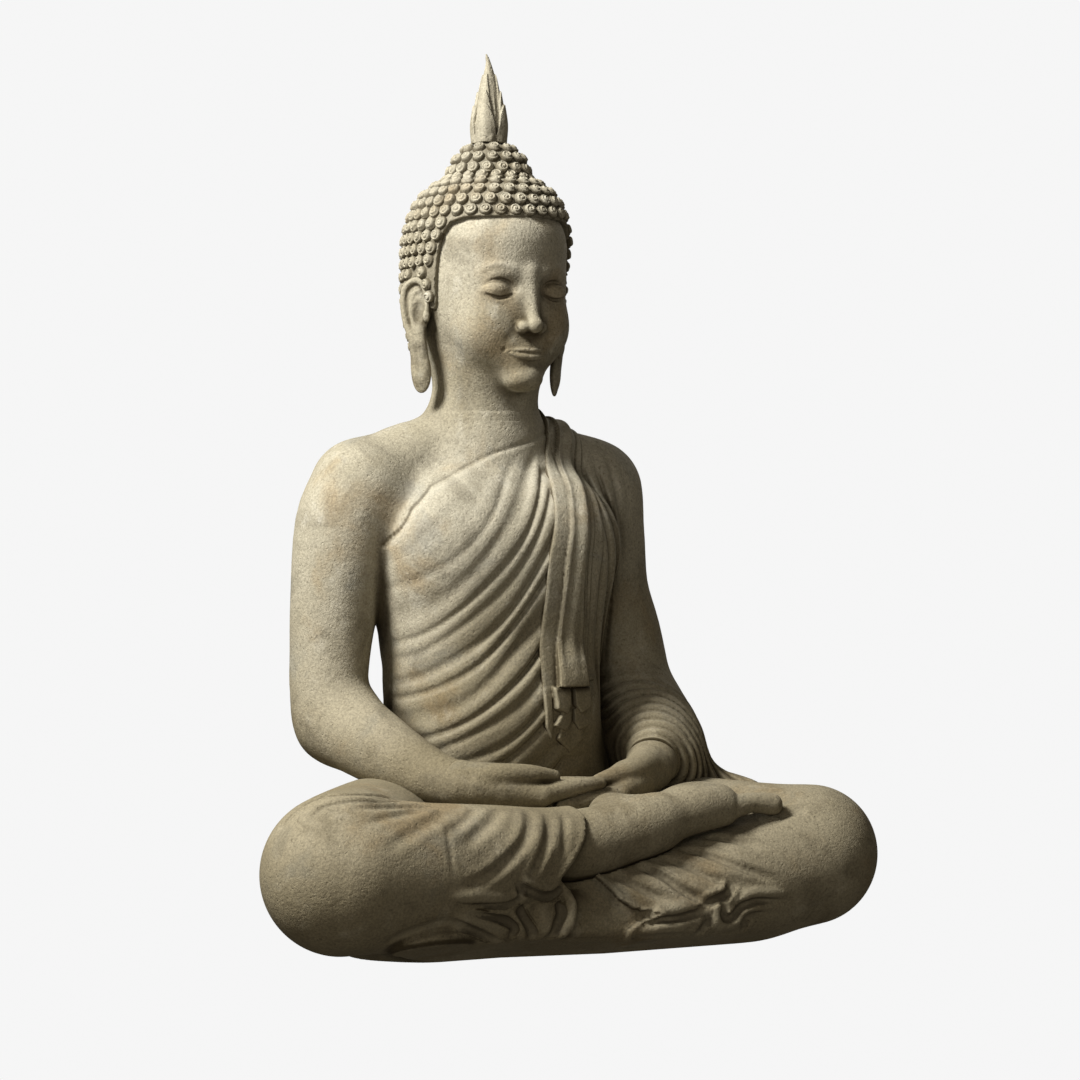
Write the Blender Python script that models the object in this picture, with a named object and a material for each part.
"""Seated meditating figure in cast stone, built in sections that are bedded and pinned together.

The figure sits cross-legged on a flat underside at z = 0 and faces -Y, so its right side is at -X.
Each stone section is a blockout of ellipsoids and tapered limbs, remeshed into one skin and then cut
at its bed joints. Stainless dowels sit in sockets across every joint. Run it with
blender --background --python part.py, or from Blender's text editor.
"""

import math

import bmesh
import bpy
from mathutils import Matrix, Vector

# Joints between sections
BED_GAP = 0.0008  # bed joint between two stone sections
SOCKET_CLEARANCE = 0.0004  # grout round a dowel
SOCKET_END = 0.002  # spare depth past a dowel's end
SLIVER = 0.0001  # shorter edges are merged

# Heights of the bed joints
WAIST_Z = 0.150
NECK_Z = 0.512
CROWN_Z = 0.790

# The skeleton: joint centres on the figure's left (+X); the right side mirrors them
SHOULDER = Vector((0.134, 0.020, 0.444))
ELBOW = Vector((0.161, 0.018, 0.218))
RIGHT_WRIST = Vector((-0.100, -0.130, 0.166))
LEFT_WRIST = Vector((0.128, -0.108, 0.178))
HIP = Vector((0.085, 0.020, 0.085))
KNEE = Vector((0.258, -0.185, 0.090))
SHOULDER_CUT_X = 0.112  # vertical bed joint of each arm
ARMPIT_Z = 0.375
NECK_CLEARANCE = 0.054  # radius that the sash keeps from the head section's neck
HEM_X = -0.008  # where the bare right shin leaves the robe

# Head
SKULL = Vector((0.0, 0.004, 0.664))
SKULL_RADII = (0.076, 0.094, 0.086)
JAW = Vector((0.0, -0.026, 0.607))
JAW_RADII = (0.060, 0.060, 0.068)
USHNISHA_Z = 0.742
HAIR_THICKNESS = 0.010
EAR = Vector((0.074, 0.006, 0.628))

FINIAL_TOP_Z = 0.880
DOWEL_SIDES = 16

STONE = (0.42, 0.38, 0.31)
STEEL = (0.60, 0.60, 0.61)


def clear_scene():
    for obj in list(bpy.data.objects):
        bpy.data.objects.remove(obj, do_unlink=True)


def material(name, colour, roughness, metallic):
    made = bpy.data.materials.new(name)
    made.use_nodes = True
    shader = made.node_tree.nodes["Principled BSDF"]
    shader.inputs["Base Color"].default_value = (*colour, 1.0)
    shader.inputs["Roughness"].default_value = roughness
    shader.inputs["Metallic"].default_value = metallic
    made.diffuse_color = (*colour, 1.0)
    return made


def mirrored(point):
    """The same place on the figure's right side."""
    return Vector((-point.x, point.y, point.z))


def between(a, b, share):
    return a.lerp(b, share)


# Blockout shapes: closed forms that a voxel remesh melts into one skin


def add_ellipsoid(bm, centre, radii, tilt=(0.0, 0.0, 0.0)):
    turn = Matrix.Rotation(tilt[2], 4, "Z") @ Matrix.Rotation(tilt[1], 4, "Y")
    turn = turn @ Matrix.Rotation(tilt[0], 4, "X")
    place = Matrix.Translation(centre) @ turn @ Matrix.Diagonal((*radii, 1.0))
    bmesh.ops.create_uvsphere(bm, u_segments=32, v_segments=18, radius=1.0, matrix=place)


def add_limb(bm, stations):
    """A run of tapered tubes with a ball at each station; a station is (point, radius)."""
    for (start, r_start), (end, r_end) in zip(stations, stations[1:]):
        axis = Vector(end) - Vector(start)
        turn = axis.to_track_quat("Z", "Y").to_matrix().to_4x4()
        middle = Matrix.Translation((Vector(start) + Vector(end)) / 2)
        bmesh.ops.create_cone(
            bm,
            cap_ends=True,
            segments=24,
            radius1=r_start,
            radius2=r_end,
            depth=axis.length,
            matrix=middle @ turn,
        )
    for point, radius in stations:
        add_ellipsoid(bm, point, (radius,) * 3)


def add_trunk(bm, stations, exponent=2.3, sides=40):
    """A closed loft of upright superellipse rings; a station is (z, y centre, half width, half depth)."""
    rings = []
    for z, y, half_width, half_depth in stations:
        ring = []
        for i in range(sides):
            angle = 2 * math.pi * i / sides
            c, s = math.cos(angle), math.sin(angle)
            x = half_width * math.copysign(abs(c) ** (2 / exponent), c)
            back = half_depth * math.copysign(abs(s) ** (2 / exponent), s)
            ring.append(bm.verts.new((x, y + back, z)))
        rings.append(ring)
    for low, high in zip(rings, rings[1:]):
        for i in range(sides):
            j = (i + 1) % sides
            bm.faces.new((low[i], low[j], high[j], high[i]))
    bm.faces.new(list(reversed(rings[0])))
    bm.faces.new(rings[-1])


def section(name, bm, voxel, triangles, smoothing=6):
    """An object whose blockout is remeshed, smoothed and thinned to about that many triangles."""
    mesh = bpy.data.meshes.new(name)
    bm.to_mesh(mesh)
    bm.free()
    obj = bpy.data.objects.new(name, mesh)
    bpy.context.scene.collection.objects.link(obj)
    remesh = obj.modifiers.new("skin", "REMESH")
    remesh.mode = "VOXEL"
    remesh.voxel_size = voxel
    remesh.use_smooth_shade = True
    smooth = obj.modifiers.new("soften", "SMOOTH")
    smooth.factor = 0.5
    smooth.iterations = smoothing
    bpy.context.view_layer.update()
    evaluated = obj.evaluated_get(bpy.context.evaluated_depsgraph_get())
    dense = 2 * len(evaluated.data.polygons)
    thin = obj.modifiers.new("thin", "DECIMATE")
    thin.ratio = min(1.0, triangles / dense)
    return obj


# Cutters: hidden solids that the sections' Booleans remove


def hide_cutter(obj):
    obj.hide_render = True
    obj.display_type = "WIRE"
    return obj


def mesh_object(name, bm):
    mesh = bpy.data.meshes.new(name)
    bm.to_mesh(mesh)
    bm.free()
    obj = bpy.data.objects.new(name, mesh)
    bpy.context.scene.collection.objects.link(obj)
    return obj


def box_cutter(name, low, high):
    bm = bmesh.new()
    size = Vector(high) - Vector(low)
    middle = (Vector(high) + Vector(low)) / 2
    bmesh.ops.create_cube(bm, size=1.0, matrix=Matrix.Translation(middle) @ Matrix.Diagonal((*size, 1.0)))
    return hide_cutter(mesh_object(name, bm))


def end_cutter(name, point, direction, reach=0.075):
    """A cube whose near face lies at the point and looks back along the direction."""
    direction = Vector(direction).normalized()
    turn = direction.to_track_quat("Z", "Y").to_matrix().to_4x4()
    place = Matrix.Translation(Vector(point) + direction * reach) @ turn
    bm = bmesh.new()
    bmesh.ops.create_cube(bm, size=2 * reach, matrix=place)
    return hide_cutter(mesh_object(name, bm))


def add_rod(bm, start, end, radius):
    axis = Vector(end) - Vector(start)
    turn = axis.to_track_quat("Z", "Y").to_matrix().to_4x4()
    place = Matrix.Translation((Vector(start) + Vector(end)) / 2) @ turn
    bmesh.ops.create_cone(
        bm,
        cap_ends=True,
        segments=DOWEL_SIDES,
        radius1=radius,
        radius2=radius,
        depth=axis.length,
        matrix=place,
    )


def cut(obj, cutter):
    """Removes the cutter, then merges the hair-thin slivers that a cut leaves along its rim."""
    boolean = obj.modifiers.new(cutter.name, "BOOLEAN")
    boolean.operation = "DIFFERENCE"
    boolean.object = cutter
    boolean.solver = "EXACT"
    weld = obj.modifiers.new("weld_" + cutter.name, "WELD")
    weld.merge_threshold = SLIVER


def bed_on(lower, upper, ceiling=None):
    """Sinks a bed for the upper section into the lower one, one bed gap away from it."""
    cutter = upper.copy()
    cutter.name = "bed_of_" + upper.name
    bpy.context.scene.collection.objects.link(cutter)
    swell = cutter.modifiers.new("gap", "DISPLACE")
    swell.strength = 2 * BED_GAP
    swell.mid_level = 0.0
    if ceiling:
        cut(cutter, ceiling)
    cut(lower, hide_cutter(cutter))


def dowel(name, start, end, radius, sections, steel):
    """A stainless pin, and its grouted socket in each of the sections that it crosses."""
    bm = bmesh.new()
    add_rod(bm, start, end, radius)
    pin = mesh_object(name, bm)
    pin.data.materials.append(steel)
    along = (Vector(end) - Vector(start)).normalized() * SOCKET_END
    bm = bmesh.new()
    add_rod(bm, Vector(start) - along, Vector(end) + along, radius + SOCKET_CLEARANCE)
    socket = hide_cutter(mesh_object(name + "_socket", bm))
    for stone in sections:
        cut(stone, socket)
    return pin


# Stone sections


def build_lap(stone):
    """Both crossed legs and the robe between them, flat underneath."""
    bm = bmesh.new()
    for side, knee_radius in ((1, 0.060), (-1, 0.072)):
        hip = Vector((side * HIP.x, HIP.y, HIP.z))
        knee = Vector((side * KNEE.x, KNEE.y, KNEE.z))
        add_limb(bm, [(hip, 0.078), (between(hip, knee, 0.55), 0.072), (knee, knee_radius)])
        add_ellipsoid(bm, (side * 0.080, 0.030, 0.070), (0.105, 0.085, 0.085))
    left_knee, right_knee = KNEE, mirrored(KNEE)
    # The right shin crosses on top, in its robe, as far as the hem
    right_shin, right_hem = Vector((-0.130, -0.196, 0.092)), Vector((-0.020, -0.204, 0.104))
    add_limb(bm, [(right_knee, 0.070), (right_shin, 0.062), (right_hem, 0.044)])
    # The left shin lies under it
    left_shin, left_ankle = Vector((0.130, -0.185, 0.052)), Vector((-0.100, -0.170, 0.045))
    add_limb(bm, [(left_knee, 0.056), (left_shin, 0.056), (left_ankle, 0.054)])
    # Robe that fills between the legs, and the seat
    add_ellipsoid(bm, (0.0, -0.100, 0.050), (0.220, 0.135, 0.085))
    add_ellipsoid(bm, (0.0, 0.010, 0.090), (0.150, 0.100, 0.085))
    lap = section("lap", bm, 0.007, 2600, smoothing=6)
    cut(lap, box_cutter("ground", (-0.5, -0.5, -0.2), (0.5, 0.5, 0.0)))
    lap.data.materials.append(stone)
    return lap


def build_torso(stone):
    bm = bmesh.new()
    stations = [
        (0.120, -0.002, 0.122, 0.088),
        (0.180, -0.002, 0.118, 0.087),
        (0.235, -0.003, 0.110, 0.083),
        (0.300, -0.002, 0.114, 0.085),
        (0.360, 0.001, 0.125, 0.092),
        (0.405, 0.005, 0.130, 0.092),
        (0.440, 0.011, 0.118, 0.080),
        (0.470, 0.014, 0.088, 0.062),
        (0.500, 0.013, 0.060, 0.050),
    ]
    add_trunk(bm, stations)
    for side in (-1, 1):
        shoulder = Vector((side * SHOULDER.x, SHOULDER.y, SHOULDER.z))
        add_limb(bm, [(Vector((side * 0.026, 0.022, 0.492)), 0.036), (shoulder, 0.051)])
    add_limb(bm, [(Vector((0.0, 0.014, 0.470)), 0.056), (Vector((0.0, 0.004, 0.560)), 0.046)])
    torso = section("torso", bm, 0.006, 2200)
    cut(torso, box_cutter("above_neck", (-0.3, -0.3, NECK_Z), (0.3, 0.3, 0.8)))
    cut(torso, box_cutter("below_waist", (-0.3, -0.3, -0.1), (0.3, 0.3, WAIST_Z)))
    for side, word in ((-1, "right"), (1, "left")):
        ends = sorted((side * 0.3, side * SHOULDER_CUT_X))
        cutter = box_cutter(f"shoulder_face_{word}", (ends[0], -0.2, ARMPIT_Z), (ends[1], 0.2, 0.6))
        cut(torso, cutter)
    torso.data.materials.append(stone)
    return torso


def build_arm(name, side, wrist, forearm_radii, sleeve, stone):
    """Upper arm and forearm; the sleeved one also carries the fall of the robe."""
    shoulder = Vector((side * SHOULDER.x, SHOULDER.y, SHOULDER.z))
    elbow = Vector((side * ELBOW.x, ELBOW.y, ELBOW.z))
    cloth = 0.004 if sleeve else 0.0
    bm = bmesh.new()
    upper = [
        (shoulder, 0.051 + cloth / 2),
        (between(shoulder, elbow, 0.35), 0.0455 + cloth),
        (between(shoulder, elbow, 0.75), 0.0385 + cloth),
        (elbow, 0.040 + 2 * cloth),
    ]
    beyond = wrist + (wrist - elbow).normalized() * 0.02
    fore = [
        (elbow, 0.040 + cloth),
        (between(elbow, wrist, 0.35), forearm_radii[0] + cloth),
        (wrist, forearm_radii[1] + cloth),
        (beyond, forearm_radii[1] + cloth),
    ]
    add_limb(bm, upper)
    add_limb(bm, fore)
    if sleeve:
        fall = elbow + Vector((0.004, -0.030, -0.045))
        add_limb(bm, [(elbow + Vector((0.0, -0.005, -0.010)), 0.050), (fall, 0.042)])
        cuff = wrist + Vector((0.03, 0.020, -0.01))
        add_limb(bm, [(elbow + Vector((0.0, -0.040, 0.0)), 0.042), (cuff, 0.036)])
        add_ellipsoid(bm, (0.196, -0.062, 0.152), (0.080, 0.055, 0.014), (0.0, 0.05, -0.6))
    arm = section(name, bm, 0.005, 1100)
    ends = sorted((0.0, side * (SHOULDER_CUT_X + 2 * BED_GAP)))
    cut(arm, box_cutter(name + "_shoulder_bed", (ends[0], -0.2, ARMPIT_Z - 0.02), (ends[1], 0.2, 0.6)))
    cut(arm, end_cutter(name + "_wrist_bed", wrist, wrist - elbow))
    arm.data.materials.append(stone)
    return arm


def build_hand(name, wrist, forearm, palm, knuckles, tips, thumb, finger_radius, stone):
    """An open hand, palm up: a flat palm, four straight fingers and a thumb along the near edge."""
    bm = bmesh.new()
    add_limb(bm, [(wrist - forearm * 0.02, 0.021), (wrist, 0.0205), (between(wrist, palm, 0.6), 0.020)])
    along = palm - wrist
    yaw = math.atan2(along.y, along.x)
    add_ellipsoid(bm, palm, (0.040, 0.034, 0.0150), (0.0, 0.0, yaw))
    for i in range(4):
        knuckle = between(knuckles[0], knuckles[1], i / 3)
        tip = between(tips[0], tips[1], i / 3)
        middle = between(knuckle, tip, 0.5)
        add_limb(bm, [(knuckle, finger_radius), (middle, finger_radius * 0.95), (tip, finger_radius * 0.75)])
    add_limb(bm, [(thumb[0], 0.015), (thumb[1], 0.0110), (thumb[2], 0.0080)])
    hand = section(name, bm, 0.003, 900, smoothing=3)
    cut(hand, end_cutter(name + "_wrist_bed", wrist + forearm * BED_GAP, -forearm, 0.05))
    hand.data.materials.append(stone)
    return hand


def build_hands(stone):
    """The right hand lies in the left one."""
    right = build_hand(
        "right_hand",
        RIGHT_WRIST,
        (RIGHT_WRIST - mirrored(ELBOW)).normalized(),
        Vector((-0.046, -0.148, 0.166)),
        (Vector((-0.016, -0.178, 0.163)), Vector((-0.012, -0.132, 0.163))),
        (Vector((0.052, -0.176, 0.160)), Vector((0.046, -0.138, 0.160))),
        (
            Vector((-0.070, -0.128, 0.174)),
            Vector((-0.036, -0.124, 0.184)),
            Vector((-0.004, -0.128, 0.186)),
        ),
        0.0105,
        stone,
    )
    left = build_hand(
        "left_hand",
        LEFT_WRIST,
        (LEFT_WRIST - ELBOW).normalized(),
        Vector((0.066, -0.136, 0.160)),
        (Vector((0.028, -0.176, 0.144)), Vector((0.026, -0.124, 0.144))),
        (Vector((-0.032, -0.178, 0.136)), Vector((-0.030, -0.134, 0.136))),
        (
            Vector((0.086, -0.120, 0.174)),
            Vector((0.050, -0.120, 0.184)),
            Vector((0.016, -0.126, 0.186)),
        ),
        0.0105,
        stone,
    )
    bed_on(left, right)
    return right, left


def build_foot(stone):
    """The bare right shin and foot, sole upwards, that lies over the left thigh."""
    ankle = Vector((0.075, -0.208, 0.122))
    ball = Vector((0.150, -0.206, 0.134))
    toe = Vector((0.196, -0.212, 0.132))
    bm = bmesh.new()
    shin, above_ankle = Vector((-0.050, -0.207, 0.103)), Vector((0.020, -0.208, 0.112))
    add_limb(bm, [(shin, 0.040), (above_ankle, 0.035), (ankle, 0.027)])
    add_ellipsoid(bm, ankle + Vector((-0.018, 0.022, 0.010)), (0.028, 0.022, 0.024))
    add_limb(bm, [(ankle, 0.026), (ball, 0.020)])
    add_ellipsoid(bm, ball + Vector((-0.010, 0.016, 0.0)), (0.052, 0.034, 0.018), (0.0, -0.1, 0.1))
    for i in range(5):
        back = 0.0125 * i
        root = ball + Vector((0.010 - 0.002 * i, back, 0.001))
        end = toe + Vector((-0.007 * i, back * 1.1, 0.002))
        add_limb(bm, [(root, 0.012 - 0.001 * i), (end, 0.0105 - 0.0013 * i)])
    foot = section("right_foot", bm, 0.0035, 1100, smoothing=4)
    cut(foot, box_cutter("hem_bed", (-0.3, -0.4, -0.1), (HEM_X, 0.1, 0.3)))
    foot.data.materials.append(stone)
    return foot


def build_head(stone):
    """Face, ears and neck, bare of hair, down to the neck bed."""
    bm = bmesh.new()
    add_ellipsoid(bm, SKULL, SKULL_RADII)
    add_ellipsoid(bm, JAW, JAW_RADII)
    add_ellipsoid(bm, (0.0, -0.062, 0.560), (0.026, 0.022, 0.020))
    add_limb(bm, [(Vector((0.0, 0.010, 0.490)), 0.052), (Vector((0.0, 0.002, 0.590)), 0.046)])
    # Nose, brow and lips
    add_limb(bm, [(Vector((0.0, -0.084, 0.645)), 0.008), (Vector((0.0, -0.098, 0.605)), 0.010)])
    for side in (-1, 1):
        add_ellipsoid(bm, (side * 0.009, -0.090, 0.602), (0.008, 0.009, 0.007))
        add_ellipsoid(bm, (side * 0.030, -0.072, 0.641), (0.017, 0.011, 0.010))
    add_ellipsoid(bm, (0.0, -0.084, 0.580), (0.020, 0.009, 0.009))
    for side in (-1, 1):
        ear = Vector((side * EAR.x, EAR.y, EAR.z))
        pinna = ear + Vector((side * 0.003, 0.004, 0.0))
        add_ellipsoid(bm, pinna, (0.009, 0.018, 0.033), (0.0, 0.0, side * 0.3))
        lobe = ear + Vector((side * 0.001, 0.000, -0.030))
        add_limb(bm, [(lobe, 0.0085), (ear + Vector((-side * 0.003, -0.002, -0.080)), 0.0095)])
    head = section("head", bm, 0.004, 2000, smoothing=2)
    cut(head, box_cutter("neck_bed", (-0.3, -0.3, 0.3), (0.3, 0.3, NECK_Z + BED_GAP)))
    head.data.materials.append(stone)
    return head


def build_hair(head, stone):
    """The cap of curls with its raised crown knot, hollow where the skull goes."""
    bm = bmesh.new()
    grown = [r + HAIR_THICKNESS for r in SKULL_RADII]
    add_ellipsoid(bm, SKULL, grown)
    add_ellipsoid(bm, (0.0, 0.030, 0.610), (0.070, 0.062, 0.052))
    add_ellipsoid(bm, (0.0, 0.0, USHNISHA_Z), (0.044, 0.044, 0.054))
    hair = section("hair_cap", bm, 0.005, 1500, smoothing=3)
    # Everything in front of a slanting hairline is bare
    opening = bmesh.new()
    lean = Matrix.Rotation(math.radians(-14), 4, "X")
    size = Matrix.Diagonal((0.4, 0.22, 0.215, 1.0))
    bmesh.ops.create_cube(opening, size=1.0, matrix=Matrix.Translation((0.0, -0.115, 0.600)) @ lean @ size)
    cut(hair, hide_cutter(mesh_object("face_opening", opening)))
    cut(hair, box_cutter("below_nape", (-0.3, -0.3, 0.3), (0.3, 0.3, 0.570)))
    cut(hair, box_cutter("crown_bed", (-0.1, -0.1, CROWN_Z), (0.1, 0.1, 0.9)))
    bed_on(hair, head)
    hair.data.materials.append(stone)
    return hair


def build_finial(stone):
    """The flame on the crown: a leaf-shaped spike that bends at its tip."""
    bm = bmesh.new()
    stations = [(0.006, 0.0140), (0.020, 0.0165), (0.040, 0.0125), (0.058, 0.0082), (0.074, 0.0045)]
    spine = [(Vector((0.0, 0.0, CROWN_Z + rise)), radius) for rise, radius in stations]
    spine.append((Vector((0.0, 0.0, FINIAL_TOP_Z - 0.0022)), 0.0022))
    add_limb(bm, spine)
    finial = section("flame_finial", bm, 0.0016, 600, smoothing=2)
    cut(finial, box_cutter("finial_bed", (-0.1, -0.1, 0.7), (0.1, 0.1, CROWN_Z + BED_GAP)))
    finial.data.materials.append(stone)
    return finial


def build_sash(torso, stone):
    """The folded band that hangs from the left shoulder down the front."""
    bm = bmesh.new()
    spine = [
        (Vector((0.062, 0.020, 0.520)), 0.018),
        (Vector((0.061, -0.012, 0.509)), 0.020),
        (Vector((0.058, -0.036, 0.484)), 0.023),
        (Vector((0.054, -0.060, 0.455)), 0.026),
        (Vector((0.046, -0.084, 0.410)), 0.028),
        (Vector((0.041, -0.090, 0.330)), 0.029),
        (Vector((0.037, -0.091, 0.250)), 0.029),
        (Vector((0.035, -0.092, 0.200)), 0.019),
    ]
    for (start, r_start), (end, r_end) in zip(spine, spine[1:]):
        for i in range(9):
            half = r_start + (r_end - r_start) * i / 8
            add_ellipsoid(bm, between(start, end, i / 8), (half, 0.012, 0.014))
    sash = section("sash", bm, 0.003, 900, smoothing=4)
    bed_on(sash, torso)
    bm = bmesh.new()
    bmesh.ops.create_cone(
        bm,
        cap_ends=True,
        segments=48,
        radius1=NECK_CLEARANCE,
        radius2=NECK_CLEARANCE,
        depth=0.1,
        matrix=Matrix.Translation((0.0, 0.006, NECK_Z + 0.048)),
    )
    cut(sash, hide_cutter(mesh_object("neck_clearance", bm)))
    sash.data.materials.append(stone)
    return sash


def build_lifting_socket(name, x, lap, steel):
    """A threaded ferrule cast into the underside, to take an eyebolt."""
    mouth = Vector((x, -0.060, SOCKET_END))
    top = mouth + Vector((0.0, 0.0, 0.060))
    bore_top = mouth + Vector((0.0, 0.0, 0.050))
    ferrule = dowel(name, mouth, top, 0.013, [lap], steel)
    bm = bmesh.new()
    add_rod(bm, mouth - Vector((0.0, 0.0, 0.01)), bore_top, 0.008)
    cut(ferrule, hide_cutter(mesh_object(name + "_bore", bm)))


def main():
    clear_scene()
    stone = material("cast_stone", STONE, 0.9, 0.0)
    steel = material("stainless_steel", STEEL, 0.35, 1.0)
    torso = build_torso(stone)
    right_arm = build_arm("right_arm", -1, RIGHT_WRIST, (0.034, 0.021), False, stone)
    left_arm = build_arm("left_arm", 1, LEFT_WRIST, (0.036, 0.024), True, stone)
    right_hand, left_hand = build_hands(stone)
    foot = build_foot(stone)
    lap = build_lap(stone)
    head = build_head(stone)
    hair = build_hair(head, stone)
    finial = build_finial(stone)
    build_sash(torso, stone)
    # Above the armpits the arms meet the torso on flat beds, so only their lower parts sink into it
    above_armpits = box_cutter("above_armpits", (-0.5, -0.5, ARMPIT_Z + 0.003), (0.5, 0.5, 0.7))
    bed_on(torso, right_arm, above_armpits)
    bed_on(torso, left_arm, above_armpits)
    for upper in (right_hand, left_hand, left_arm):
        bed_on(foot, upper)
    for upper in (torso, right_arm, left_arm, right_hand, left_hand, foot):
        bed_on(lap, upper)
    up, out = Vector((0, 0, 1)), Vector((1, 0, 0))
    neck = Vector((0.0, 0.006, NECK_Z))
    dowel("neck_dowel", neck - up * 0.08, neck + up * 0.06, 0.008, [torso, head], steel)
    crown = Vector((0.0, 0.0, CROWN_Z))
    dowel("finial_dowel", crown - up * 0.030, crown + up * 0.028, 0.003, [hair, finial], steel)
    sides = (
        (-1, "right", right_arm, right_hand, RIGHT_WRIST),
        (1, "left", left_arm, left_hand, LEFT_WRIST),
    )
    for side, word, arm, hand, wrist in sides:
        waist = Vector((side * 0.060, 0.012, WAIST_Z))
        dowel(f"waist_dowel_{word}", waist - up * 0.08, waist + up * 0.08, 0.010, [lap, torso], steel)
        bed = Vector((side * SHOULDER_CUT_X, SHOULDER.y, SHOULDER.z - 0.005))
        dowel(f"shoulder_dowel_{word}", bed - out * 0.045, bed + out * 0.045, 0.006, [torso, arm], steel)
        elbow = Vector((side * ELBOW.x, ELBOW.y, ELBOW.z))
        forearm = (wrist - elbow).normalized()
        inner, outer = wrist - forearm * 0.035, wrist + forearm * 0.022
        dowel(f"wrist_dowel_{word}", inner, outer, 0.004, [arm, hand], steel)
        build_lifting_socket(f"lifting_socket_{word}", side * 0.120, lap, steel)
    shin = Vector((HEM_X, -0.205, 0.104))
    dowel("foot_dowel", shin - out * 0.045, shin + out * 0.045, 0.006, [lap, foot], steel)


main()
